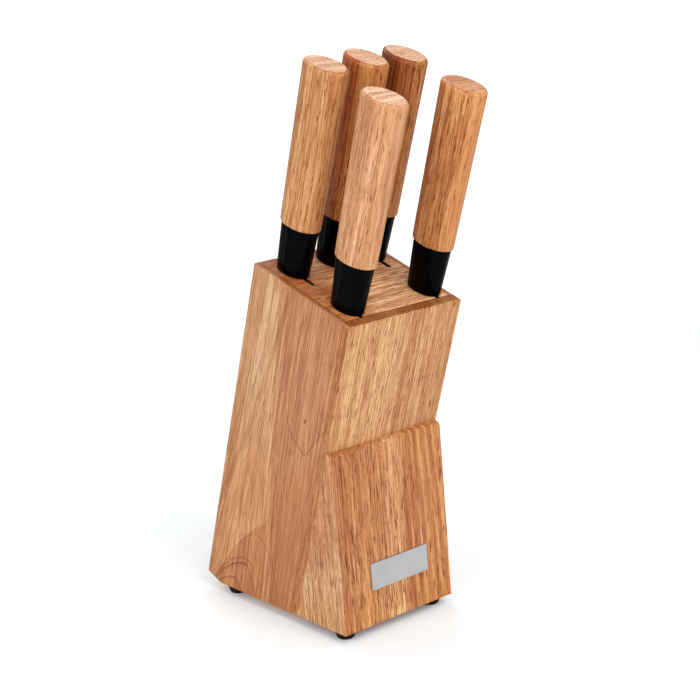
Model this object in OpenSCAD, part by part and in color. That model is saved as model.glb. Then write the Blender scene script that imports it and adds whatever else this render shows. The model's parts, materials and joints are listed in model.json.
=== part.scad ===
// Leaning wooden knife block on four rubber feet, with five oval-handled knives that lift out.
// Millimetres. +X is right seen from the front, -Y is the front, +Z is up.
// The origin is on the floor, under the middle of the whole set.

/* [Block] */
// Width of the block
block_w = 90; // [88:1:100]
// Depth of the block, square to its lean
block_d = 89.5; // [89:0.5:96]
// Length of the front face, along the lean
front_len = 205.4; // [200:0.2:225]
// Lean of the block towards the front, in degrees
lean = 17.65; // [15:0.05:19]
// Height of the lower back edge above the base
heel_rise = 5.4; // [3:0.2:7]
// Distance along the base from the front face to the heel bevel
heel_y = 79.1; // [78:0.1:82]

/* [Panels] */
// Thickness of the front panel
front_t = 7; // [6.5:0.5:8]
// Thickness of each side panel
side_t = 7.5; // [7:0.5:9]
// Thickness of the back panel
back_t = 8; // [7.5:0.5:9]
// Width of side panel left beside the top and bottom plates
side_lip = 3; // [2:0.5:4]
// Width of back panel left behind the top and bottom plates
back_lip = 4.8; // [4:0.2:5.6]
// Thickness of the slotted top plate
plate_t = 10; // [8:1:14]
// Thickness of the bottom plate
bottom_t = 8; // [8:0.5:12]
// Thickness of the inner blade guide
guide_t = 6; // [4:0.5:8]
// Depth of the inner blade guide below the top face
guide_depth = 72; // [50:1:76]
// Depth of the grooves that hold the blade guide
groove = 3; // [2:0.5:4]

/* [Front foot] */
// Depth of the front foot along the floor
foot_base = 45.6; // [40:0.2:50]
// Depth of the front foot at its top
foot_top = 3.7; // [3:0.1:5]
// Distance from the top face down to the front foot, along the lean
foot_drop = 85.6; // [75:0.2:95]
// Radius of the rounded upper edge of the front foot
foot_round = 2.6; // [2:0.1:2.8]
// Radius of the dowels that fix the front foot
dowel_r = 4; // [3:0.5:5]
// Length of each dowel inside the front foot
dowel_in_foot = 15; // [10:1:15]

/* [Plain plate] */
// Width of the plain metal plate
badge_w = 47; // [30:1:60]
// Height of the plain metal plate
badge_h = 17.3; // [12:0.1:24]
// Thickness of the plain metal plate
badge_t = 0.9; // [0.5:0.1:1.5]
// Sideways place of the middle of the plain metal plate
badge_x = 2.3; // [-10:0.1:10]
// Height of the plain metal plate up the front foot
badge_up = 22.2; // [10:0.1:50]

/* [Rubber feet] */
// Height of each rubber foot
pad_h = 6; // [5:0.5:8]
// Diameter of each rubber foot at the wood
pad_d = 15; // [14:0.5:16]
// Diameter of each rubber foot at the floor
pad_floor_d = 11; // [10.5:0.5:12]
// Sideways distance of the rubber feet from the middle
pad_x = 36; // [30:0.5:36]
// Distance of the front rubber feet ahead of the front face
pad_front = 35; // [28:0.5:36]
// Distance of the back rubber feet behind the front face
pad_back = 71.5; // [62:0.5:71.5]

/* [Knife places] */
// Sideways place of the left knives
left_x = -29.4; // [-31:0.1:-27]
// Sideways place of the middle knife
mid_x = 3.2; // [-2:0.1:5]
// Sideways place of the right knives
right_x = 32.4; // [30:0.1:33]
// Distance of the front knives from the front face
front_row = 20.3; // [20:0.1:22]
// Distance of the side back knives from the front face
back_row = 70.9; // [68:0.1:71.5]
// Distance of the chef's knife from the front face
chef_row = 72.9; // [70:0.1:73]
// Width of every slot
slot_w = 3; // [2.8:0.1:3.6]
// Play of a blade in its slot, at its back and at its edge
slot_play = 1.5; // [1:0.1:1.6]

/* [Handles] */
// Length of the black ferrule
ferrule_len = 31.2; // [25:0.1:36]
// Half width of the ferrule at the blade end
ferrule_r_low = 8.4; // [7.8:0.1:8.8]
// Half width of the ferrule at the wood
ferrule_r_high = 9.4; // [8.8:0.1:9.8]
// Length of ferrule and wooden grip together
handle_len = 132; // [115:1:145]
// Half width of the wooden grip at the ferrule
grip_r_low = 10.3; // [9.8:0.1:10.8]
// Half width of the wooden grip at its end
grip_r_high = 11.2; // [10.8:0.1:12]
// Depth of the oval section over its width
oval = 1.43; // [1.2:0.01:1.45]
// Radius of the rounded end of the grip
butt_round = 2.4; // [1:0.1:4]

/* [Blades] */
// Length of the chef's, slicing and bread blades
long_blade = 200; // [160:5:200]
// Length of the utility blade
utility_blade_len = 130; // [110:5:150]
// Length of the paring blade
paring_blade_len = 90; // [82:1:105]
// Pitch of the bread knife's scallops
scallop_pitch = 6; // [5:0.5:8]

/* [Hidden] */
$fn = 96;
BIG_FN = 360;
EPS = 0.01;

// Knife gap: the ferrule stands this far off the plate, so that the two never bind.
rest_gap = 0.05;
plate_half = block_w / 2 - side_lip;
neck_len = 3;
neck_w = 14;
// Length by which the curves run past the point, so that it ends in a narrow flat.
point_cut = 0.5;
tang_w = 10;
tang_len = 88;
// Room round the tang in the ferrule and the grip, which the glue fills.
glue_gap = 0.2;
ferrule_round = 0.9;
grip_round = 0.9;
dowel_in_panel = 5;
dowel_gap = 0.05;
dowel_x = 25;
dowel_heights = [30, 74];
screw_r = 1.5;
screw_len = 10;
screw_head_r = 3.2;
screw_head_h = 2.2;
screw_recess = 2.8;
scallop_r = 4.2;
scallop_depth = 1.1;

// Places and shapes of the knives:
// [x, distance from the front face, blade length, blade width, back of the blade ahead of
//  the handle's axis, thickness, where the belly starts, drop of the point, length of the drop]
chef = [mid_x, chef_row, long_blade, 42, 8, 2.2, 60, 5, 70];
slicing = [left_x, back_row, long_blade, 28, 9.4, 2, 120, 6, 60];
bread = [right_x, back_row, long_blade, 28, 9.4, 2, 150, 8, 50];
utility = [left_x, front_row, utility_blade_len, 24, 11.2, 2, 60, 5, 45];
paring = [right_x, front_row, paring_blade_len, 21, 8.2, 1.8, 35, 4, 35];
KNIVES = [chef, slicing, bread, utility, paring];
function x_of(k) = k[0];
function row_of(k) = k[1];
function length_of(k) = k[2];
function width_of(k) = k[3];
function spine_of(k) = k[4];
function thickness_of(k) = k[5];
function belly_of(k) = k[6];
function drop_of(k) = k[7];
function drop_length_of(k) = k[8];

// Leaning frame: x is sideways, y runs back from the front face, z runs up along the lean.
// These give the standing y and z of a point [y, z] in that frame.
function standing_y(p) = p[0] * cos(lean) - p[1] * sin(lean);
function standing_z(p) = p[0] * sin(lean) + p[1] * cos(lean);
function leaning(p) = [p[0] * cos(lean) + p[1] * sin(lean), p[1] * cos(lean) - p[0] * sin(lean)];

heel_low = leaning([heel_y, 0]);
back_low = [block_d, (heel_rise - block_d * sin(lean)) / cos(lean)];

// Front foot, in the standing frame, with y 0 where the front face meets the base.
foot_high = front_len - foot_drop;
foot_back_top = [standing_y([0, foot_high]), standing_z([0, foot_high])];
foot_corner = [standing_y([-foot_top, foot_high]), standing_z([-foot_top, foot_high])];
foot_slope = atan2(foot_corner[0] + foot_base, foot_corner[1]);
// Tangent circle of the rounded upper edge.
foot_corner_angle = 90 + lean + foot_slope;
foot_tangent = foot_round / tan(foot_corner_angle / 2);
to_back = [cos(lean), sin(lean)];
to_base = [-sin(foot_slope), -cos(foot_slope)];
bisector = (to_back + to_base) / norm(to_back + to_base);
foot_centre = foot_corner + bisector * foot_round / sin(foot_corner_angle / 2);

// Extent of the whole set along y: the front grips' ends and the lower back edge.
oval_reach = butt_round * norm([oval * cos(lean), sin(lean)]);
front_reach = standing_y([front_row - oval * (grip_r_high - butt_round),
                          front_len + rest_gap + handle_len - butt_round]) - oval_reach;
back_reach = standing_y(back_low);
middle_y = (front_reach + back_reach) / 2;

module stand() {
    translate([0, -middle_y, pad_h]) children();
}

module leaned() {
    stand() rotate([lean, 0, 0]) children();
}

// Extrudes a [y, z] outline along x.
module along_x(x, width) {
    translate([x, 0, 0]) rotate([90, 0, 90]) linear_extrude(width) children();
}

// Side view of the box in the leaning frame.
module box_side() {
    polygon([[0, 0], [0, front_len], [block_d, front_len], back_low, heel_low]);
}

// Slice of the side view between two distances from the front face.
module box_slice(y_from, y_to) {
    intersection() {
        box_side();
        translate([y_from, -block_d]) square([y_to - y_from, front_len + 2 * block_d]);
    }
}

// Board of the top plate, or with over the pocket that it sits in.
module plate_board(over = 0) {
    depth = block_d - back_lip - front_t;
    translate([-plate_half, front_t, front_len - plate_t])
        cube([2 * plate_half, depth, plate_t + over]);
}

// Side view of the pocket of the bottom plate, which lies flat on the base.
module bottom_side() {
    intersection() {
        translate([front_t, -block_d]) square([block_d - back_lip - front_t, 2 * block_d]);
        rotate(-lean) translate([-block_d, -1]) square([3 * block_d, bottom_t + 1]);
    }
}

module pockets() {
    plate_board(over = 1);
    along_x(-plate_half, 2 * plate_half) bottom_side();
    guide_board();
}

module guide_board() {
    half = block_w / 2 - side_t + groove;
    depth = block_d - back_t + groove - front_t;
    translate([-half, front_t, front_len - guide_depth - guide_t]) cube([2 * half, depth, guide_t]);
}

module slots() {
    r = slot_w / 2;
    for (k = KNIVES) {
        front = row_of(k) + spine_of(k) - width_of(k) - slot_play + r;
        back = row_of(k) + spine_of(k) + slot_play - r;
        translate([x_of(k), 0, 0]) {
            translate([-r, front, 0]) cube([slot_w, back - front, front_len + 1]);
            for (y = [front, back]) translate([0, y, 0]) cylinder(h = front_len + 1, r = r);
        }
    }
}

module side_panel(x) {
    difference() {
        along_x(x, side_t) box_slice(front_t, block_d);
        pockets();
    }
}

module dowels(r) {
    for (x = [-dowel_x, dowel_x], z = dowel_heights)
        translate([x, dowel_in_panel, z]) rotate([90, 0, 0])
            cylinder(h = dowel_in_panel + dowel_in_foot, r = r);
}

// Moves the children to each rubber foot, with z 0 at the wood.
module at_pad(x, y) {
    translate([x, y, 0]) children();
}

module at_pads() {
    for (x = [-pad_x, pad_x], y = [-pad_front, pad_back]) at_pad(x, y) children();
}

module screw_holes() {
    at_pads() translate([0, 0, -EPS])
        cylinder(h = screw_len - (pad_h - screw_recess) + 2 * EPS, r = screw_r + 0.05);
}

module front_panel() {
    color("tan") leaned() difference() {
        along_x(-block_w / 2, block_w) box_slice(0, front_t);
        dowels(dowel_r + dowel_gap);
    }
}

module back_panel() {
    color("tan") leaned() difference() {
        along_x(side_t - block_w / 2, block_w - 2 * side_t) box_slice(block_d - back_t, block_d);
        pockets();
    }
}

module left_side_panel() {
    color("burlywood") leaned() side_panel(-block_w / 2);
}

module right_side_panel() {
    color("burlywood") leaned() side_panel(block_w / 2 - side_t);
}

module top_plate() {
    color("peru") leaned() difference() {
        plate_board();
        slots();
    }
}

module blade_guide() {
    color("wheat") leaned() difference() {
        guide_board();
        slots();
    }
}

module bottom_plate() {
    color("tan") difference() {
        leaned() along_x(-plate_half, 2 * plate_half) intersection() {
            box_side();
            bottom_side();
        }
        stand() screw_holes();
    }
}

// Front foot before drilling: its side view, rounded at the upper edge, cut off at the panel.
module foot_blank() {
    intersection() {
        union() {
            along_x(-block_w / 2, block_w) polygon([
                [0, 0], [-foot_base, 0], foot_corner + to_base * foot_tangent,
                foot_corner + to_back * foot_tangent, foot_back_top
            ]);
            translate([-block_w / 2, foot_centre[0], foot_centre[1]]) rotate([0, 90, 0])
                cylinder(h = block_w, r = foot_round);
        }
        rotate([lean, 0, 0]) translate([-block_w, -2 * block_d, -block_d])
            cube([2 * block_w, 2 * block_d, 3 * block_d]);
    }
}

module front_foot() {
    color("chocolate") stand() difference() {
        foot_blank();
        rotate([lean, 0, 0]) dowels(dowel_r + dowel_gap);
        screw_holes();
    }
}

module foot_dowels() {
    color("wheat") leaned() dowels(dowel_r);
}

module plain_plate() {
    color("silver") stand() translate([badge_x, -foot_base, 0]) rotate([-foot_slope, 0, 0])
        translate([-badge_w / 2, -badge_t, badge_up]) cube([badge_w, badge_t, badge_h]);
}

module rubber_foot(x, y) {
    edge = 0.6;
    r = pad_floor_d / 2;
    color("black") stand() at_pad(x, y) difference() {
        union() {
            translate([0, 0, edge - pad_h]) cylinder(h = pad_h - edge, r1 = r, r2 = pad_d / 2);
            translate([0, 0, -pad_h]) cylinder(h = edge, r1 = r - edge, r2 = r);
        }
        translate([0, 0, -pad_h - EPS]) cylinder(h = pad_h + 2 * EPS, r = screw_r + 0.2);
        translate([0, 0, -pad_h - EPS]) cylinder(h = screw_recess + EPS, r = screw_head_r + 0.4);
    }
}

module rubber_foot_front_left() {
    rubber_foot(-pad_x, -pad_front);
}

module rubber_foot_front_right() {
    rubber_foot(pad_x, -pad_front);
}

module rubber_foot_back_left() {
    rubber_foot(-pad_x, pad_back);
}

module rubber_foot_back_right() {
    rubber_foot(pad_x, pad_back);
}

// Pan head screw with a cross recess, its head seated in the rubber foot.
module screw() {
    point = 2;
    cross_w = 0.8;
    cross_len = 3.6;
    cross_deep = 1;
    difference() {
        union() {
            translate([0, 0, -screw_head_h]) cylinder(h = screw_head_h, r = screw_head_r);
            cylinder(h = screw_len - point, r = screw_r);
            translate([0, 0, screw_len - point]) cylinder(h = point, r1 = screw_r, r2 = 0.3);
        }
        for (turn = [0, 90]) rotate(turn)
            translate([-cross_len / 2, -cross_w / 2, -screw_head_h - EPS])
                cube([cross_len, cross_w, cross_deep + EPS]);
    }
}

module foot_screws() {
    color("gray") stand() at_pads() translate([0, 0, screw_recess - pad_h]) screw();
}

// Moves the children to a knife's own frame: z up along the handle, z 0 at the ferrule's end,
// y back across the blade.
module at_knife(k) {
    leaned() translate([x_of(k), row_of(k), front_len + rest_gap]) children();
}

// Flat outline of a blade: straight back and edge, a round belly and a round drop to the point.
module blade_outline(k) {
    len = length_of(k);
    wide = width_of(k);
    spine = spine_of(k);
    edge = spine - wide;
    belly = belly_of(k);
    drop = drop_of(k);
    drop_start = len - drop_length_of(k);
    rise = wide - drop;
    run = len + point_cut - belly;
    drop_run = len + point_cut - drop_start;
    belly_r = (rise * rise + run * run) / (2 * rise);
    drop_r = (drop * drop + drop_run * drop_run) / (2 * drop);
    translate([spine - neck_w, -neck_len - EPS]) square([neck_w, neck_len + EPS]);
    intersection() {
        translate([edge, -len]) square([wide, len - neck_len]);
        union() {
            translate([edge, -belly]) square([wide, belly]);
            translate([edge + belly_r, -belly]) circle(belly_r, $fn = BIG_FN);
        }
        union() {
            translate([edge, -drop_start]) square([wide, drop_start]);
            translate([spine - drop_r, -drop_start]) circle(drop_r, $fn = BIG_FN);
        }
    }
}

// Blade ground thinner towards its edge and its point, with a tang that fills the handle.
module blade(k, scalloped = false) {
    half = thickness_of(k) / 2;
    len = length_of(k);
    spine = spine_of(k);
    edge = spine - width_of(k);
    color("lightgray") at_knife(k) {
        difference() {
            intersection() {
                along_x(-half, 2 * half) blade_outline(k);
                translate([0, 0, -len]) linear_extrude(len)
                    polygon([[-half, spine], [half, spine], [0.15, edge], [-0.15, edge]]);
                rotate([90, 0, 0]) translate([0, 0, -spine - 1]) linear_extrude(width_of(k) + 2)
                    polygon([[-half, 0], [half, 0], [half / 3, -len], [-half / 3, -len]]);
            }
            if (scalloped)
                for (z = [2 * scallop_pitch : scallop_pitch : belly_of(k)])
                    translate([-half - 1, edge + scallop_depth - scallop_r, -z])
                        rotate([0, 90, 0]) cylinder(h = 2 * half + 2, r = scallop_r, $fn = 48);
        }
        translate([-half, -tang_w / 2, -1]) cube([2 * half, tang_w, tang_len + 1]);
    }
}

// Oval post that widens upwards, with round edges at both ends, turned in four quarters.
module oval_post(r_low, r_high, height, round_low, round_high) {
    for (turn = [0 : 90 : 270])
        scale([1, oval, 1]) rotate(turn) rotate_extrude(angle = 90) {
            polygon([
                [0, 0], [r_low - round_low, 0], [r_low, round_low],
                [r_high, height - round_high], [r_high - round_high, height], [0, height]
            ]);
            translate([r_low - round_low, round_low]) circle(round_low, $fn = 32);
            translate([r_high - round_high, height - round_high]) circle(round_high, $fn = 48);
        }
}

module tang_hole(k) {
    half = thickness_of(k) / 2 + glue_gap;
    translate([-half, -tang_w / 2 - glue_gap, -1])
        cube([2 * half, tang_w + 2 * glue_gap, tang_len + 1 + glue_gap]);
}

module ferrule(k) {
    color("#101010") at_knife(k) difference() {
        oval_post(ferrule_r_low, ferrule_r_high, ferrule_len, ferrule_round, ferrule_round);
        tang_hole(k);
    }
}

module grip(k) {
    color("peru") at_knife(k) difference() {
        translate([0, 0, ferrule_len])
            oval_post(grip_r_low, grip_r_high, handle_len - ferrule_len, grip_round, butt_round);
        tang_hole(k);
    }
}

module chef_blade() { blade(chef); }
module chef_ferrule() { ferrule(chef); }
module chef_grip() { grip(chef); }
module slicing_blade() { blade(slicing); }
module slicing_ferrule() { ferrule(slicing); }
module slicing_grip() { grip(slicing); }
module bread_blade() { blade(bread, scalloped = true); }
module bread_ferrule() { ferrule(bread); }
module bread_grip() { grip(bread); }
module utility_blade() { blade(utility); }
module utility_ferrule() { ferrule(utility); }
module utility_grip() { grip(utility); }
module paring_blade() { blade(paring); }
module paring_ferrule() { ferrule(paring); }
module paring_grip() { grip(paring); }

front_panel();
back_panel();
left_side_panel();
right_side_panel();
top_plate();
blade_guide();
bottom_plate();
front_foot();
foot_dowels();
plain_plate();
rubber_foot_front_left();
rubber_foot_front_right();
rubber_foot_back_left();
rubber_foot_back_right();
foot_screws();
chef_blade();
chef_ferrule();
chef_grip();
slicing_blade();
slicing_ferrule();
slicing_grip();
bread_blade();
bread_ferrule();
bread_grip();
utility_blade();
utility_ferrule();
utility_grip();
paring_blade();
paring_ferrule();
paring_grip();
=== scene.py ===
"""Looks of a leaning wooden knife block with five knives, built around its CAD frame."""
import json
import math

import bmesh
import bpy
from mathutils import Matrix, Vector
from mathutils.bvhtree import BVHTree


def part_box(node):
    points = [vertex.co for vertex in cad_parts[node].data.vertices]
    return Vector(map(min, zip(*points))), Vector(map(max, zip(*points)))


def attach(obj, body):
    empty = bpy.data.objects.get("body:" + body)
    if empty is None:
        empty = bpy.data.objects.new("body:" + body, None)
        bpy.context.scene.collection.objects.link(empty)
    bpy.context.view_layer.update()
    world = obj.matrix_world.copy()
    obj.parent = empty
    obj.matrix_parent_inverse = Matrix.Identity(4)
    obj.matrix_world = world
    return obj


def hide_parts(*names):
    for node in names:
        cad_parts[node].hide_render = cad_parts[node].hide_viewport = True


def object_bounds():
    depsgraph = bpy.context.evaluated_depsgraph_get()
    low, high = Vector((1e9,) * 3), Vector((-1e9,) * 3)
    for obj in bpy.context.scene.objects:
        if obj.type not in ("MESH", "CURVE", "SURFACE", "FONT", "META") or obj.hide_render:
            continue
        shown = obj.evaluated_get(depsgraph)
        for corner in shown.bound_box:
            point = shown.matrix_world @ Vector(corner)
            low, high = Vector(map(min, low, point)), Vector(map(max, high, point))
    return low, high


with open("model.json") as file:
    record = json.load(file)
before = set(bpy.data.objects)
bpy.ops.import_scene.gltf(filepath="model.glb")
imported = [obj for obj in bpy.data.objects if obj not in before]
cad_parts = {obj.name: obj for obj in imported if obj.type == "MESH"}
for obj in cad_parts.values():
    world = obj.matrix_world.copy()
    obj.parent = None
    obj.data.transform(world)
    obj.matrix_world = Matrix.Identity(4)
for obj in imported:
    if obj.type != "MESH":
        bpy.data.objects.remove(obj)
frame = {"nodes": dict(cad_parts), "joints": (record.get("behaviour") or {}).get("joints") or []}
cad_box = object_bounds()

MM = 0.001
KNIVES = ("chef", "slicing", "bread", "utility", "paring")
BLOCK_WOOD = ("front_panel", "back_panel", "left_side_panel", "right_side_panel",
              "top_plate", "blade_guide", "bottom_plate", "front_foot")
RUBBER_FEET = ("rubber_foot_front_left", "rubber_foot_front_right",
               "rubber_foot_back_left", "rubber_foot_back_right")

X = Vector((1, 0, 0))
Z = Vector((0, 0, 1))
# The knives slide along the block's lean; BACK is square to it, from the front face backwards.
LEAN = Vector(frame["joints"][0]["axis"]).normalized()
BACK = LEAN.cross(X)
# The least that a face's normal has to agree with a direction to count as looking that way.
AGREES = 0.99


def srgb(red, green, blue):
    """Linear colour of a 0-255 screen colour, as a node socket takes it."""
    def linear(value):
        value /= 255
        return value / 12.92 if value <= 0.04045 else ((value + 0.055) / 1.055) ** 2.4
    return (linear(red), linear(green), linear(blue), 1)


def centre(node):
    """Middle of the CAD node's box, in metres."""
    low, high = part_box(node)
    return (low + high) / 2


def span(node, direction):
    """The least and the most that the CAD node reaches along a direction, in metres."""
    reaches = [vertex.co.dot(direction) for vertex in frame["nodes"][node].data.vertices]
    return min(reaches), max(reaches)


def mean_normal(node, towards):
    """Mean normal of the CAD node's faces that look along a direction or nearly so."""
    total = Vector()
    for polygon in frame["nodes"][node].data.polygons:
        if polygon.normal.dot(towards) > AGREES:
            total += polygon.normal * polygon.area
    return total.normalized()


# ---------------------------------------------------------------- camera, floor and light

# The camera looks from the front left: its turn from +Y towards +X, its height and its roll.
CAMERA_AZIMUTH = math.radians(40.88)
CAMERA_ELEVATION = math.radians(14.966)
CAMERA_ROLL = math.radians(2.643)
# Lens and sensor in millimetres, distance in metres, and the aim from the CAD box's middle.
CAMERA_LENS = 90.47
SENSOR_WIDTH = 36
CAMERA_DISTANCE = 1.0818
AIM_OFFSET = Vector((0.0022, -0.0045, -0.0073))
# Strength of the room's even light, of the same light as it shows in shiny surfaces, and of the
# white behind everything.
ROOM_LIGHT = 0.62
MIRRORED_LIGHT = 0.3
BACKDROP = 1.2
WHITE = (1, 1, 1, 1)
# Name, azimuth from the front towards the left and elevation in degrees, distance, width and
# height in metres, and power in watts.
SOFTBOXES = (
    ("key", 10, 38, 1.6, 1.3, 1.3, 16),
    ("left_fill", 82, 22, 1.6, 1.2, 1.2, 9),
    ("back_fill", 200, 40, 1.7, 1.2, 1.2, 8),
    ("left_edge_strip", 148, 12, 1.5, 0.08, 1.3, 1.6),
    ("right_edge_strip", -72, 12, 1.5, 0.08, 1.3, 1.6))
LIGHT_TARGET = Vector((0, 0, 0.17))
FLOOR_RADIUS = 0.75
FLOOR_SIDES = 96
FLOOR_GLOW = 0.07


def add_camera():
    """Long lens that looks at the object from the front left and a little from above."""
    data = bpy.data.cameras.new("camera")
    data.sensor_width = SENSOR_WIDTH
    data.lens = CAMERA_LENS
    camera = bpy.data.objects.new("camera", data)
    bpy.context.scene.collection.objects.link(camera)
    level = math.cos(CAMERA_ELEVATION)
    view = Vector((math.sin(CAMERA_AZIMUTH) * level, math.cos(CAMERA_AZIMUTH) * level,
                   -math.sin(CAMERA_ELEVATION)))
    right = view.cross(Z).normalized()
    up = right.cross(view)
    turned_right = right * math.cos(CAMERA_ROLL) - up * math.sin(CAMERA_ROLL)
    turned_up = right * math.sin(CAMERA_ROLL) + up * math.cos(CAMERA_ROLL)
    place = (cad_box[0] + cad_box[1]) / 2 + AIM_OFFSET - view * CAMERA_DISTANCE
    axes = Matrix((turned_right, turned_up, -view)).transposed().to_4x4()
    camera.matrix_world = Matrix.Translation(place) @ axes
    bpy.context.scene.camera = camera


def add_softbox(name, azimuth, elevation, distance, width, height, power):
    """Area light on a sphere round the object, aimed at its middle."""
    data = bpy.data.lights.new(name, "AREA")
    data.shape = "RECTANGLE"
    data.size = width
    data.size_y = height
    data.energy = power
    light = bpy.data.objects.new(name, data)
    bpy.context.scene.collection.objects.link(light)
    azimuth, elevation = math.radians(azimuth), math.radians(elevation)
    outward = Vector((-math.sin(azimuth) * math.cos(elevation),
                      -math.cos(azimuth) * math.cos(elevation), math.sin(elevation)))
    light.matrix_world = Matrix.Translation(LIGHT_TARGET + outward * distance) \
        @ outward.to_track_quat("Z", "Y").to_matrix().to_4x4()


def add_world():
    """White backdrop for the camera, and a softer even light for everything else."""
    world = bpy.data.worlds.new("studio")
    world.use_nodes = True
    bpy.context.scene.world = world
    tree = world.node_tree
    tree.nodes.clear()
    output = tree.nodes.new("ShaderNodeOutputWorld")
    path = tree.nodes.new("ShaderNodeLightPath")
    seen = tree.nodes.new("ShaderNodeBackground")
    lit = tree.nodes.new("ShaderNodeBackground")
    mix = tree.nodes.new("ShaderNodeMixShader")
    seen.inputs["Strength"].default_value = BACKDROP
    seen.inputs["Color"].default_value = WHITE
    dimmed = tree.nodes.new("ShaderNodeMath")
    dimmed.operation = "MULTIPLY_ADD"
    dimmed.inputs[1].default_value = MIRRORED_LIGHT - ROOM_LIGHT
    dimmed.inputs[2].default_value = ROOM_LIGHT
    tree.links.new(path.outputs["Is Glossy Ray"], dimmed.inputs[0])
    tree.links.new(dimmed.outputs[0], lit.inputs["Strength"])
    lit.inputs["Color"].default_value = WHITE
    tree.links.new(path.outputs["Is Camera Ray"], mix.inputs[0])
    tree.links.new(lit.outputs[0], mix.inputs[1])
    tree.links.new(seen.outputs[0], mix.inputs[2])
    tree.links.new(mix.outputs[0], output.inputs["Surface"])


def add_floor():
    """A round white floor at height 0."""
    bm = bmesh.new()
    angles = [2 * math.pi * i / FLOOR_SIDES for i in range(FLOOR_SIDES)]
    bm.faces.new([bm.verts.new((FLOOR_RADIUS * math.cos(angle), FLOOR_RADIUS * math.sin(angle), 0))
                  for angle in angles])
    mesh = bpy.data.meshes.new("floor")
    bm.to_mesh(mesh)
    bm.free()
    floor = bpy.data.objects.new("floor", mesh)
    bpy.context.scene.collection.objects.link(floor)
    mesh.materials.append(floor_material())


# ---------------------------------------------------------------- shader building

class Graph:
    """Adds shader nodes to a material and links them, one call for each node."""

    def __init__(self, name):
        self.material = bpy.data.materials.new(name)
        self.material.use_nodes = True
        self.tree = self.material.node_tree
        self.tree.nodes.clear()
        self.shader = self.node("ShaderNodeBsdfPrincipled", {})
        self.node("ShaderNodeOutputMaterial", {"Surface": self.shader.outputs[0]})

    def node(self, kind, inputs, **settings):
        made = self.tree.nodes.new(kind)
        for name, value in settings.items():
            setattr(made, name, value)
        for name, value in inputs.items():
            if isinstance(value, bpy.types.NodeSocket):
                self.tree.links.new(value, made.inputs[name])
            else:
                made.inputs[name].default_value = value
        return made

    def finish(self, **sockets):
        """Feeds the Principled shader's sockets, spaces written as underscores."""
        for name, value in sockets.items():
            socket = self.shader.inputs[name.replace("_", " ")]
            if isinstance(value, bpy.types.NodeSocket):
                self.tree.links.new(value, socket)
            else:
                socket.default_value = value
        return self.material

    def math(self, operation, *values):
        return self.node("ShaderNodeMath", dict(enumerate(values)), operation=operation).outputs[0]

    def add(self, *values):
        total = values[0]
        for value in values[1:]:
            total = self.math("ADD", total, value)
        return total

    def times(self, first, second):
        return self.math("MULTIPLY", first, second)

    def vector_math(self, operation, first, second):
        made = self.node("ShaderNodeVectorMath", {0: first, 1: second}, operation=operation)
        return made.outputs["Value" if operation == "DOT_PRODUCT" else "Vector"]

    def combine(self, x, y, z):
        return self.node("ShaderNodeCombineXYZ", {"X": x, "Y": y, "Z": z}).outputs[0]

    def noise(self, vector, detail=2.0, roughness=0.5):
        made = self.node("ShaderNodeTexNoise", {
            "Vector": vector, "Scale": 1.0, "Detail": detail, "Roughness": roughness})
        return made.outputs[0]

    def step(self, value, start, end):
        """0 at start, 1 at end, smooth between them."""
        made = self.node("ShaderNodeMapRange", {
            "Value": value, "From Min": start, "From Max": end, "To Min": 0.0, "To Max": 1.0},
            interpolation_type="SMOOTHSTEP")
        return made.outputs[0]

    def hump(self, value, middle, width, height):
        """Bell curve of a value."""
        away = self.times(self.math("SUBTRACT", value, middle), 1 / width)
        falling = self.math("POWER", math.e, self.times(self.times(away, away), -1.0))
        return self.times(falling, height)

    def mix(self, factor, first, second, blend="MIX"):
        made = self.node("ShaderNodeMix", {0: factor, 6: first, 7: second},
                         data_type="RGBA", blend_type=blend)
        return made.outputs[2]

    def ramp(self, factor, stops):
        made = self.node("ShaderNodeValToRGB", {0: factor})
        elements = made.color_ramp.elements
        while len(elements) < len(stops):
            elements.new(0.5)
        for element, (position, color) in zip(elements, stops):
            element.position = position
            element.color = color
        return made.outputs[0]

    def bump(self, height, strength, distance):
        made = self.node("ShaderNodeBump", {
            "Height": height, "Strength": strength, "Distance": distance})
        return made.outputs["Normal"]

    def place(self):
        """Object coordinates in millimetres."""
        coordinates = self.node("ShaderNodeTexCoord", {}).outputs["Object"]
        return self.vector_math("MULTIPLY", coordinates, (1 / MM, 1 / MM, 1 / MM))


# ---------------------------------------------------------------- wood

# Tones of the oiled wood: its pores, a dark streak, the common tone and the palest streak.
HONEY = (srgb(142, 78, 34), srgb(174, 113, 62), srgb(201, 147, 95), srgb(222, 175, 122))
PINK = (srgb(126, 66, 34), srgb(161, 99, 58), srgb(186, 129, 84), srgb(209, 159, 111))
ORANGE = (srgb(116, 52, 18), srgb(160, 92, 44), srgb(187, 123, 72), srgb(208, 154, 104))
BROWN = (srgb(104, 42, 10), srgb(150, 84, 36), srgb(176, 108, 56), srgb(202, 142, 84))
# The next tones, for the chef grip, are its wood's colour made partly darker and redder with
# painted shade.
RED = (srgb(112, 46, 10), srgb(170, 98, 42), srgb(198, 130, 70), srgb(222, 164, 104))
SAND = (srgb(150, 86, 48), srgb(182, 121, 76), srgb(207, 152, 105), srgb(230, 184, 138))
END_GRAIN = (srgb(150, 92, 62), srgb(198, 144, 108), srgb(222, 176, 142), srgb(238, 200, 170))
TONE_STOPS = (0.0, 0.38, 0.6, 0.95)
COMMON_TONE = 0.55
# Tints multiply the colour of the wood.
NO_TINT = (1, 1, 1)
# Width and length in millimetres of the blots in the noises that draw the wood.
SLOW_WANDER = (45, 260)
QUICK_WANDER = (9, 70)
STREAK = (1.3, 90)
FIBRE = (0.6, 24)
CLOUD = (30, 60)
RIPPLE = (7, 20)
BOLD_PORE = (0.75, 10)
FINE_PORE = (0.42, 6)
STRIPE_LENGTH = 320
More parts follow.
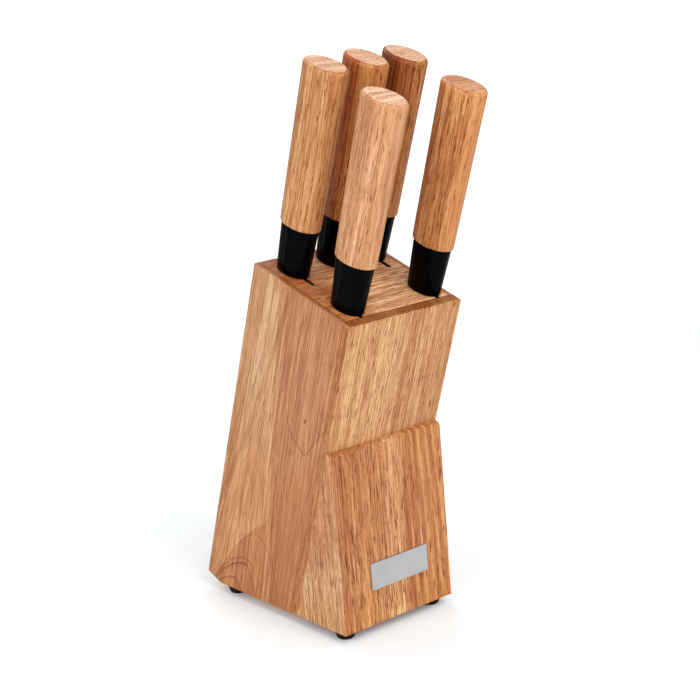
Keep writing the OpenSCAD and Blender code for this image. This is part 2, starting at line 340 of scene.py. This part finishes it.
# Where a noise begins to be a pore, and where the pore is full.
BOLD_PORE_STEP = (0.61, 0.67)
FINE_PORE_STEP = (0.6, 0.7)
# How nearly a face looks along the grain where end grain begins to show, and where it shows in
# full; then the same for a look across the board, at its side edges.
END_FACE_STEP = (0.93, 0.985)
SIDE_EDGE_STEP = (0.55, 0.9)
# How much of the streaks and pores is left in the calm part of a board.
CALM_SHARE = 0.55
# Depth of the grain in millimetres.
GRAIN_RELIEF = 0.12


def tinted(tones, red, green, blue):
    """The same tones, each multiplied by a colour."""
    return tuple((tone[0] * red, tone[1] * green, tone[2] * blue, 1) for tone in tones)


class WoodGraph(Graph):
    """Shader graph of a board, with a point's millimetres across it, along it and deep in it."""

    def __init__(self, name, middle, along, depth, swirls, seed):
        super().__init__(name)
        self.seed = seed
        self.normal = self.node("ShaderNodeNewGeometry", {}).outputs["Normal"]
        place = self.place()
        middle = Vector(middle) / MM
        self.across, self.along, self.deep = [
            self.math("SUBTRACT", self.vector_math("DOT_PRODUCT", place, direction),
                      direction.dot(middle))
            for direction in (along.cross(depth), along, depth)]
        self.bent = self.across
        for swirl_across, swirl_along, half_width, half_length in swirls:
            bell = self.times(self.hump(self.across, swirl_across, half_width, 0.6),
                              self.hump(self.along, swirl_along, half_length, 1.0))
            aside = self.math("SUBTRACT", self.across, swirl_across)
            self.bent = self.math("SUBTRACT", self.bent, self.times(bell, aside))
        # How far the grain strays sideways, in millimetres.
        self.wander = self.add(self.times(self.centred(self.blots(SLOW_WANDER), 1.0), 8.0),
                               self.times(self.centred(self.blots(QUICK_WANDER, 5.0), 2.0), 2.5))

    def blots(self, size, offset=0.0):
        """Coordinates for a noise whose blots have this width and length, in millimetres."""
        width, length = size
        return self.combine(self.add(self.times(self.bent, 1 / width), self.seed + offset),
                            self.add(self.times(self.deep, 1 / width), self.seed * 1.7),
                            self.times(self.along, 1 / length))

    def centred(self, place, detail, roughness=0.5):
        """Noise that goes as far below 0 as above it."""
        return self.math("SUBTRACT", self.noise(place, detail, roughness), 0.5)

    def facing(self, direction, limits):
        """1 on the faces square to a direction, 0 on those along it."""
        agreement = self.vector_math("DOT_PRODUCT", self.normal, direction)
        return self.step(self.math("ABSOLUTE", agreement), *limits)

    def tint(self, part, colour, tint):
        """The colour multiplied by a tint, on one part of the board."""
        return self.mix(part, colour, self.mix(1.0, colour, tint + (1,), "MULTIPLY"))

    def growth_rings(self, pith, tilt, ring_width):
        """Noise that goes in rings round the pith line."""
        aside = self.add(self.bent, -pith[0], self.wander)
        above = self.add(self.deep, -pith[1], self.times(self.along, -tilt))
        radius = self.math("SQRT", self.add(self.times(aside, aside), self.times(above, above)))
        place = self.combine(self.times(radius, 1 / ring_width), self.times(self.along, 0.002),
                             self.seed + 3.1)
        return self.centred(place, 2.0, 0.6)

    def add_arches(self, tone, arches):
        """The tone with dark growth lines that turn back, and the tinted parts inside them."""
        wavy = self.add(self.along, self.times(self.centred(self.blots(RIPPLE, 8.0), 2.0), 1.6))
        parts = []
        for top_across, top_along, opens, left, right, curve, power, width, dark, tint in arches:
            aside = self.math("SUBTRACT", self.across, top_across)
            slope = self.add(
                self.times(self.math("MAXIMUM", aside, 0.0), right),
                self.times(self.math("MINIMUM", aside, 0.0), -left),
                self.times(self.math("POWER", self.math("ABSOLUTE", aside), power), curve))
            past = self.times(self.math("SUBTRACT", wavy, top_along), opens)
            within = self.math("SUBTRACT", past, slope)
            tone = self.math("SUBTRACT", tone, self.hump(within, 0.0, width, dark))
            parts.append((self.step(within, -width, 2 * width), tint))
        return tone, parts

    def add_knots(self, tone, knots):
        """The tone with small dark specks."""
        for knot_across, knot_along, size in knots:
            speck = self.times(self.hump(self.across, knot_across, size, 0.7),
                               self.hump(self.along, knot_along, size * 1.5, 1.0))
            tone = self.math("SUBTRACT", tone, speck)
        return tone

    def zone_parts(self, zones):
        """Tinted parts of the board that lie past a line."""
        parts = []
        for share_across, share_along, start, softness, tint in zones:
            reach = self.add(self.times(self.bent, share_across),
                             self.times(self.along, share_along),
                             self.times(self.wander, min(0.3, softness * 0.1)))
            parts.append((self.step(reach, start - softness, start + softness), tint))
        return parts

    def band_parts(self, bands):
        """Tinted strips that lean as they go along the board."""
        parts = []
        for band_across, lean, half_width, softness, tint in bands:
            aside = self.add(self.bent, self.times(self.along, -lean), -band_across,
                             self.times(self.wander, 0.15))
            within = self.step(self.math("ABSOLUTE", aside), half_width + softness, half_width)
            parts.append((within, tint))
        return parts

    def pores(self, strength, busy, end_face):
        """Short dark pores, bold and fine, that are fainter on the end grain."""
        bold = self.step(self.noise(self.blots(BOLD_PORE, 4.0), 1.0), *BOLD_PORE_STEP)
        fine = self.step(self.noise(self.blots(FINE_PORE, 6.0), 1.0), *FINE_PORE_STEP)
        both = self.add(self.times(bold, 0.9), self.times(fine, 0.6))
        holes = self.times(self.times(both, strength), busy)
        return self.times(holes, self.add(1.0, self.times(end_face, -0.75)))


def wood_material(name, middle, along, depth, tones, pith=(0, -80), tilt=0.0, rings=0.4,
                  ring_width=7.7, end_rings=0.5, stripes=0.35, stripe_width=6.0, streaks=1.0,
                  pores=1.0, zones=(), bands=(), arches=(), swirls=(), knots=(), calm=None,
                  ends=None, edge_tint=NO_TINT, seed=0.0):
    """Solid wood: growth rings round a pith line, long streaks, fine fibres and short dark pores.

    middle: a point of the board, in metres; along: the grain; depth: out of its best face.
    pith: where the rings' centre lies, across and in depth, in millimetres from middle.
    tilt: how much nearer the pith comes to the face for each millimetre along the grain.
    rings, end_rings, stripes, streaks, pores: how strongly each shows; end_rings adds to rings on
    the end grain. ring_width and stripe_width are in millimetres.
    zones: (share across, share along, start, softness, tint) part of the board past a line.
    bands: (across, lean, half width, softness, tint) strip that leans as it goes along.
    arches: (across, along, way it opens, left slope, right slope, curve, power, width, darkness,
    tint inside) dark growth lines that turn back, as on flat-sawn boards.
    swirls: (across, along, half width, half length) bend the grain round a place.
    knots: (across, along, size) small dark specks.
    calm: (across, across) the stretch over which the streaks and pores grow weaker.
    ends: tones of the end grain; edge_tint: tint of the faces square to the way across.
    """
    g = WoodGraph(name, middle, along, depth, swirls, seed)
    end_face = g.facing(along, END_FACE_STEP)
    ring = g.growth_rings(pith, tilt, ring_width)
    stripe = g.centred(g.blots((stripe_width, STRIPE_LENGTH), 1.3), 2.0)
    streak = g.centred(g.blots(STREAK, 9.4), 2.0, 0.6)
    fibre = g.centred(g.blots(FIBRE, 2.0), 2.0)
    cloud = g.centred(g.blots(CLOUD, 7.0), 2.0)
    busy = 1.0 if calm is None else g.add(
        CALM_SHARE, g.times(g.step(g.bent, calm[1], calm[0]), 1 - CALM_SHARE))
    fine_lines = g.add(g.times(streak, streaks), g.times(fibre, 1.2 * streaks))
    tone = g.add(COMMON_TONE, g.times(ring, g.add(rings, g.times(end_face, end_rings))),
                 g.times(stripe, stripes), g.times(fine_lines, busy), g.times(cloud, 0.2))
    tone, arch_parts = g.add_arches(tone, arches)
    tone = g.add_knots(tone, knots)

    colour = g.ramp(tone, list(zip(TONE_STOPS, tones)))
    for part, tint in arch_parts + g.zone_parts(zones) + g.band_parts(bands):
        colour = g.tint(part, colour, tint)
    holes = g.pores(pores, busy, end_face)
    colour = g.mix(g.math("MINIMUM", holes, 0.9), colour, tones[0])
    colour = g.tint(g.facing(along.cross(depth), SIDE_EDGE_STEP), colour, edge_tint)
    ends = ends or tinted(tones, 0.8, 0.62, 0.5)
    colour = g.mix(end_face, colour, g.ramp(tone, list(zip(TONE_STOPS, ends))))

    relief = g.add(g.times(streak, 0.3), g.times(fibre, 0.6), g.times(holes, -1.0))
    rough = g.add(0.42, g.times(fibre, 0.25), g.times(holes, 0.25), g.times(cloud, 0.1))
    return g.finish(Base_Color=colour, Roughness=rough, Specular_IOR_Level=0.35,
                    Normal=g.bump(relief, 0.35, GRAIN_RELIEF * MM))


# ---------------------------------------------------------------- floor, plastic, rubber, metal

def floor_material():
    """Pale floor that glows a little, so that it stays white in the pictures."""
    g = Graph("floor_white")
    speck = g.noise(g.vector_math("MULTIPLY", g.place(), (0.02, 0.02, 0.02)))
    pale = g.ramp(speck, [(0.3, (0.86, 0.895, 0.915, 1)), (0.7, (0.88, 0.915, 0.935, 1))])
    return g.finish(Base_Color=pale, Roughness=0.7, Specular_IOR_Level=0.1,
                    Emission_Color=WHITE, Emission_Strength=FLOOR_GLOW)


def ferrule_material():
    """Smooth black moulded plastic with faint handling marks."""
    g = Graph("black_ferrule")
    place = g.place()
    cloud = g.noise(g.vector_math("MULTIPLY", place, (0.09, 0.09, 0.05)), 3.0)
    scuff = g.noise(g.vector_math("MULTIPLY", place, (2.5, 2.5, 0.25)), 3.0)
    shade = g.ramp(cloud, [(0.3, (0.0006, 0.0006, 0.0007, 1)), (0.7, (0.0012, 0.0012, 0.0013, 1))])
    rough = g.add(0.14, g.times(cloud, 0.08), g.times(scuff, 0.08))
    return g.finish(Base_Color=shade, Roughness=rough, Specular_IOR_Level=0.03,
                    Normal=g.bump(scuff, 0.04, 0.05 * MM))


def rubber_material():
    """Dull black rubber."""
    g = Graph("foot_rubber")
    place = g.place()
    grain = g.noise(g.vector_math("MULTIPLY", place, (4, 4, 4)), 4.0)
    shade = g.ramp(grain, [(0.3, (0.003, 0.003, 0.003, 1)), (0.75, (0.007, 0.007, 0.007, 1))])
    return g.finish(Base_Color=shade, Roughness=g.add(0.5, g.times(grain, 0.2)),
                    Specular_IOR_Level=0.15, Normal=g.bump(grain, 0.2, 0.08 * MM))


def brushed_material(name, tone, rough, brush, along, fineness=6.0):
    """Metal with fine brushed lines that run along a direction."""
    g = Graph(name)
    place = g.place()
    side = along.orthogonal().normalized()
    squeezed = [g.times(g.vector_math("DOT_PRODUCT", place, axis), scale)
                for axis, scale in ((side, fineness), (along.cross(side), fineness), (along, 0.1))]
    lines = g.noise(g.combine(*squeezed), 3.0, 0.7)
    cloud = g.noise(g.vector_math("MULTIPLY", place, (0.05, 0.05, 0.05)), 2.0)
    dark = tuple(channel * 0.82 for channel in tone[:3]) + (1,)
    colour = g.ramp(g.add(g.times(lines, 0.7), g.times(cloud, 0.3)), [(0.35, dark), (0.65, tone)])
    return g.finish(Base_Color=colour, Metallic=1.0,
                    Roughness=g.add(rough, g.times(lines, 0.14), g.times(cloud, 0.08)),
                    Normal=g.bump(lines, brush, 0.02 * MM))


# ---------------------------------------------------------------- making pieces

# Metres within which points are one, the angle below which faces make one flat side, and the
# angle from which an edge is sharp.
WELD = 1e-6
FLAT = math.radians(0.5)
SHARP = math.radians(30)
# Bevel widths in millimetres: the boards' free edges, their glued edges, and the metal plate.
FREE_EDGE = 0.9
GLUED_EDGE = 0.1
PLATE_BEVEL = 0.3
BEVEL_STEPS = 4
# Glued edges shorter than this many millimetres are left as they are.
SHORT_SEAM = 3
# How far in and out of an edge, in millimetres, the point lies that feels for a neighbour.
PROBE_IN = 1.0
PROBE_OUT = 0.3
PROBE_RAY = Vector((0.31, 0.42, 0.85)).normalized()


def welded(node):
    """The CAD node as a closed mesh whose flat sides are single faces."""
    bm = bmesh.new()
    bm.from_mesh(frame["nodes"][node].data)
    bmesh.ops.remove_doubles(bm, verts=bm.verts, dist=WELD)
    bmesh.ops.dissolve_limit(bm, angle_limit=FLAT, verts=bm.verts, edges=bm.edges)
    return bm


def search_tree(node):
    """The CAD node's closed mesh, ready for rays."""
    bm = welded(node)
    tree = BVHTree.FromBMesh(bm)
    bm.free()
    return tree


def is_inside(tree, point):
    """True where a ray from the point goes through the closed mesh an odd number of times."""
    crossings = 0
    while True:
        hit = tree.ray_cast(point, PROBE_RAY)[0]
        if hit is None:
            return crossings % 2 == 1
        crossings += 1
        point = hit + PROBE_RAY * WELD


def is_free(edge, neighbours):
    """True where no other piece covers either of the edge's two faces."""
    first, second = (face.normal for face in edge.link_faces)
    middle = (edge.verts[0].co + edge.verts[1].co) / 2
    for own, other in ((first, second), (second, first)):
        inward = (own * own.dot(other) - other).normalized()
        probe = middle + inward * PROBE_IN * MM + own * PROBE_OUT * MM
        if any(is_inside(tree, probe) for tree in neighbours):
            return False
    return True


def is_sharp(edge):
    """True where the edge's two faces meet at a real angle."""
    return len(edge.link_faces) == 2 and edge.calc_face_angle(0) >= SHARP


def add_piece(name, bm, body, slot, material, *nodes):
    """A visible piece on a body, in the place of CAD nodes."""
    mesh = bpy.data.meshes.new(name)
    bm.to_mesh(mesh)
    bm.free()
    mesh.materials.append(material)
    piece = bpy.data.objects.new(name, mesh)
    bpy.context.scene.collection.objects.link(piece)
    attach(piece, body)
    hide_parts(*nodes)
    return piece


def add_board(node, slot, material, free_edge=FREE_EDGE, glued_edge=GLUED_EDGE):
    """A board with soft free edges; where it is glued to its neighbours only a hair line shows."""
    bm = welded(node)
    neighbours = [BOARD_TREES[other] for other in BLOCK_WOOD if other != node]
    weight = bm.edges.layers.float.new("bevel_weight_edge")
    for edge in bm.edges:
        edge.smooth = not is_sharp(edge)
        if not is_sharp(edge) or not edge.is_convex:
            continue
        if is_free(edge, neighbours):
            edge[weight] = 1.0
        elif edge.calc_length() > SHORT_SEAM * MM:
            edge[weight] = glued_edge / free_edge
    for face in bm.faces:
        face.smooth = True
    piece = add_piece(node + "_board", bm, "block", slot, material, node)
    bevel = piece.modifiers.new("soft_edges", "BEVEL")
    bevel.limit_method = "WEIGHT"
    bevel.width = free_edge * MM
    bevel.segments = BEVEL_STEPS
    bevel.use_clamp_overlap = True
    bevel.harden_normals = True


def add_metal_plate(material):
    """The plain metal plate with its sharp edges broken."""
    bm = welded("plain_plate")
    bmesh.ops.bevel(bm, geom=bm.edges[:], offset=PLATE_BEVEL * MM, segments=2, profile=0.5,
                    affect="EDGES", clamp_overlap=True)
    add_piece("plain_plate_face", bm, "block", "plate_metal", material, "plain_plate")


def paint(node, material):
    """Gives a CAD node that stays its finished material."""
    for slot in frame["nodes"][node].material_slots:
        slot.material = material


# ---------------------------------------------------------------- stage

add_camera()
add_world()
add_floor()
for softbox in SOFTBOXES:
    add_softbox(*softbox)
bpy.context.scene.view_settings.view_transform = "Standard"

# ---------------------------------------------------------------- block

# Where the front face meets the base, in the middle of the block.
front_corner = min((v.co for v in frame["nodes"]["front_panel"].data.vertices),
                   key=lambda co: (round(co.z, 5), co.y))
FRONT_FOOT_LINE = Vector((0, front_corner.y, front_corner.z))
FOOT_FRONT = mean_normal("front_foot", Vector((0, -1, 0)))
FOOT_GRAIN = FOOT_FRONT.cross(X)
BOARD_TREES = {node: search_tree(node) for node in BLOCK_WOOD}
# Millimetres from the middle plane to the sides, and from the front face to the back.
HALF_WIDTH = round(span("right_side_panel", X)[1] / MM, 2)
BLOCK_DEPTH = round((span("back_panel", BACK)[1] - span("front_panel", BACK)[0]) / MM, 2)


def lean_point(side, back, up):
    """Point given in millimetres: sideways, back from the front face and up along the lean."""
    return FRONT_FOOT_LINE + X * side * MM + BACK * back * MM + LEAN * up * MM


front_wood = wood_material(
    "front_panel_wood", lean_point(0, 0, 100), LEAN, -BACK, HONEY, pith=(-160, -40), seed=3.0,
    rings=0.3, stripes=0.45, stripe_width=3.5, streaks=1.25, pores=1.4,
    zones=((1, 0, 21, 4, (0.94, 0.9, 0.86)), (-1, 0, 4, 10, (1.08, 1.15, 1.17)),
           (0, 1, 70, 30, (1.05, 1.08, 1.1))),
    bands=((8, 0.0, 1.2, 1.2, (0.92, 0.87, 0.83)), (-20, 0.0, 0.6, 1.0, (0.93, 0.88, 0.84)),
           (16, 0.0, 0.5, 0.9, (0.9, 0.84, 0.8)), (27, 0.0, 0.7, 1.0, (0.9, 0.84, 0.8))),
    # The front panel's end grain on top is darker partly as real end grain and partly as painted
    # shade from the knives.
    ends=tinted(HONEY, 0.6, 0.42, 0.26), edge_tint=(0.67, 0.47, 0.28))
left_wood = wood_material(
    "left_panel_wood", lean_point(-HALF_WIDTH, 24, 108), LEAN, -X, PINK, pith=(0, -60), tilt=0.12,
    seed=1.0, rings=0.2, stripes=0.25, streaks=0.9, pores=0.5,
    zones=((-1, -0.13, 27.6, 0.8, (1.24, 1.58, 1.96)), (0, -1, 5, 50, (0.88, 0.72, 0.49)),
           (-1, 0.05, 54, 3, (0.9, 0.82, 0.72))),
    bands=((-32, -0.12, 2.6, 1.5, (0.97, 0.93, 0.88)),
           (-45, 0.17, 0.8, 2.4, (0.85, 0.74, 0.66)),
           (-57, -0.02, 2, 1.5, (0.9, 0.82, 0.78))),
    arches=((6.1, 0.6, 1, 0.33, 2.0, 0.000043, 4, 0.55, 0.45, NO_TINT),
            (-17.5, -64, -1, 0.82, 8.0, 0.0206, 2, 1.2, 0.12, (0.84, 0.66, 0.5)),
            (-23, -76, -1, 0.3, 0.1, 0.04, 2, 1.0, 0.16, NO_TINT),
            (-27, -99, -1, 0.0, 0.5, 0.031, 2, 0.8, 0.28, NO_TINT),
            (-29, -102.8, -1, 0.24, 1.05, 0.026, 2, 0.7, 0.55, (0.97, 0.95, 0.92)),
            (-37.6, -119.2, -1, 0.165, 0.55, 0.037, 2, 0.65, 0.45, NO_TINT)),
    swirls=((-42, -138, 40, 100),), knots=((1, 22, 0.9),), ends=tinted(PINK, 0.8, 0.7, 0.56))
right_wood = wood_material(
    "right_panel_wood", lean_point(HALF_WIDTH, 50, 100), LEAN, X, HONEY, pith=(20, -55),
    tilt=-0.1, seed=6.0, pores=0.7, zones=((1, 0.1, 12, 1, (0.9, 0.82, 0.76)),))
back_wood = wood_material(
    "back_panel_wood", lean_point(0, BLOCK_DEPTH, 100), LEAN, BACK, PINK, pith=(-15, -50),
    tilt=0.15, seed=8.0,
    arches=((-8, 20, 1, 2.0, 2.6, 0.06, 2, 0.8, 0.3, NO_TINT),
            (-8, -18, 1, 2.0, 2.6, 0.05, 2, 1.2, 0.2, (0.95, 0.9, 0.86)),
            (-6, -62, 1, 2.4, 3.0, 0.03, 2, 0.9, 0.26, NO_TINT)))

# The top plate is dark along its seams with the side and front panels; its slots are darkened with
# painted shade.
SEAM_WIDTH = 0.7
SEAM_TINT = (0.34, 0.22, 0.14)
plate_side = span("top_plate", X)[1] / MM - SEAM_WIDTH
plate_front = (centre("top_plate").dot(BACK) - span("top_plate", BACK)[0]) / MM - SEAM_WIDTH
plate_wood = wood_material(
    "top_plate_wood", centre("top_plate"), X, LEAN, tinted(SAND, 1.04, 0.93, 0.87),
    pith=(-90, -30), seed=11.0, pores=2.0, streaks=1.5, stripes=0.6,
    # The first zone darkens and warms the plate's left part with painted shade and painted bounce
    # light from the grips and ferrules.
    zones=((0, -1, 19, 9, (0.74, 0.52, 0.33)), (1, 0, 5, 20, (1.39, 1.74, 2.0)),
           (0, -1, plate_side, 0.3, SEAM_TINT), (0, 1, plate_side, 0.3, SEAM_TINT),
           (1, 0, plate_front, 0.3, SEAM_TINT)),
    # Its end grain and edges, seen as the walls of the slots, are darkened with painted shade.
    ends=tinted(SAND, 0.1, 0.07, 0.05), edge_tint=(0.2, 0.14, 0.1))
bottom_wood = wood_material(
    "bottom_plate_wood", centre("bottom_plate"), X, -Z, HONEY, pith=(30, -60), seed=13.0)

# Fine lines on the right half of the foot, dark and pale by turns, that fan out a little.
FOOT_LINES = tuple((12 + 3.3 * i, -0.03 - 0.004 * i, 0.5, 0.9,
                    (1.27, 1.42, 1.42) if i % 2 else (0.88, 0.79, 0.68)) for i in range(10))
foot_wood = wood_material(
    "front_foot_wood", centre("front_foot"), FOOT_GRAIN, FOOT_FRONT, ORANGE, pith=(-18, -45),
    tilt=0.08, seed=17.0, rings=0.25, stripes=0.35, stripe_width=3.0, streaks=1.05, pores=1.8,
    calm=(6, 12),
    zones=((-1, 0, 20, 8, (0.98, 0.93, 0.88)), (1, 0, 22, 2, (1.06, 1.08, 1.1)),
           (0, -1, 35, 15, (1.0, 0.94, 0.8)), (-0.6, -0.8, 38, 12, (1.14, 1.35, 1.58))),
    bands=((2.4, 0.04, 6, 2.5, (1.3, 1.65, 2.15)), (-16, 0.12, 6, 4, (1.12, 1.22, 1.28)),
           (-41, 0.0, 2.2, 2, (0.93, 0.86, 0.8))) + FOOT_LINES,
    ends=tinted(ORANGE, 0.57, 0.39, 0.26), edge_tint=(1.09, 1.34, 1.72))
guide_wood = wood_material(
    "blade_guide_wood", centre("blade_guide"), X, LEAN, HONEY, pith=(50, -60), seed=19.0)
dowel_wood = wood_material(
    "dowel_wood", centre("foot_dowels"), BACK, LEAN, HONEY, pith=(50, -60), seed=23.0)

add_board("front_panel", "panel_wood", front_wood)
add_board("left_side_panel", "panel_wood", left_wood)
add_board("right_side_panel", "panel_wood", right_wood)
add_board("back_panel", "panel_wood", back_wood)
add_board("top_plate", "plate_wood", plate_wood, free_edge=0.35, glued_edge=0.3)
add_board("bottom_plate", "panel_wood", bottom_wood)
add_board("front_foot", "foot_wood", foot_wood)
paint("blade_guide", guide_wood)
paint("foot_dowels", dowel_wood)

plate_metal = brushed_material("plain_plate_metal", (0.61, 0.61, 0.605, 1), 0.4, 0.15, X)
steel = brushed_material("blade_steel", (0.66, 0.67, 0.68, 1), 0.22, 0.2, BACK, fineness=3.5)
screw_steel = brushed_material("screw_steel", (0.5, 0.5, 0.5, 1), 0.3, 0.1, X)
rubber = rubber_material()
black = ferrule_material()

add_metal_plate(plate_metal)
paint("foot_screws", screw_steel)
for foot in RUBBER_FEET:
    paint(foot, rubber)

# ---------------------------------------------------------------- knives

# Tints of some strips and sides of the grips: a pale tint for real pale strips of the wood, and
# two dark tints of painted shade for grip sides that their neighbours shade.
PALE = (1.14, 1.24, 1.3)
GRIP_PAINTED_SHADE = (0.78, 0.62, 0.42)
CHEF_PAINTED_SHADE = (0.76, 0.49, 0.25)
# The grips' best face looks forwards and to the left; their rings' centre lies before or behind.
GRIP_FACE = (X * -0.65 - BACK * 0.76).normalized()
BEFORE = (97, 114)
BEHIND = (-97, -114)
GRIP_LOOK = dict(ends=END_GRAIN, rings=0.3, ring_width=3.4, end_rings=1.25, stripes=0.55,
                 stripe_width=2.8, streaks=0.95, pores=1.3)
GRIPS = {
    "chef": dict(tones=RED, pith=BEHIND, seed=31.0,
                 # The chef grip's left side, beside the slicing grip, is darkened with painted
                 # shade.
                 zones=((-1, 0, 4, 1.0, CHEF_PAINTED_SHADE), (1, 0, 9, 1, (0.9, 0.82, 0.7)))),
    "slicing": dict(tones=tinted(HONEY, 0.97, 0.92, 0.88), pith=BEFORE, seed=37.0,
                    bands=((-9.2, 0.01, 1.5, 0.3, PALE), (8, 0.01, 1.4, 0.6, PALE)),
                    # The slicing grip's right side is darkened with painted shade.
                    zones=((1, 0, 4.2, 0.6, (0.86, 0.76, 0.62)),)),
    "bread": dict(tones=tinted(BROWN, 0.81, 0.66, 0.46), pith=BEHIND, seed=41.0,
                  # The bread grip's left side is darkened with painted shade.
                  zones=((-1, 0, 3, 1.5, GRIP_PAINTED_SHADE), (1, 0, 5.8, 0.3, (1.35, 1.75, 2.2)))),
    "utility": dict(tones=SAND, pith=BEFORE, seed=43.0, calm=(0, 4), stripes=0.3,
                    ends=tinted(END_GRAIN, 1.06, 1.13, 1.2),
                    bands=((-9, 0.0, 1.0, 1.0, (0.92, 0.86, 0.82)),)),
    "paring": dict(tones=tinted(ORANGE, 1.2, 1.22, 1.16), pith=BEHIND, seed=47.0, calm=(3, 5),
                   ends=tinted(END_GRAIN, 0.84, 0.71, 0.58),
                   bands=((-9.5, 0.0, 1.2, 0.6, (1.25, 1.5, 1.8)),
                          (-7.2, 0.0, 0.8, 0.5, (0.98, 0.9, 0.78)),
                          (-4.5, -0.01, 0.6, 0.6, PALE)),
                   zones=((1, 0, 3.2, 0.5, (1.05, 1.08, 1.06)),)),
}
for knife in KNIVES:
    grip = knife + "_grip"
    look = {**GRIP_LOOK, **GRIPS[knife]}
    paint(grip, wood_material(grip + "_wood", centre(grip), LEAN, GRIP_FACE, **look))
    paint(knife + "_ferrule", black)
    paint(knife + "_blade", steel)
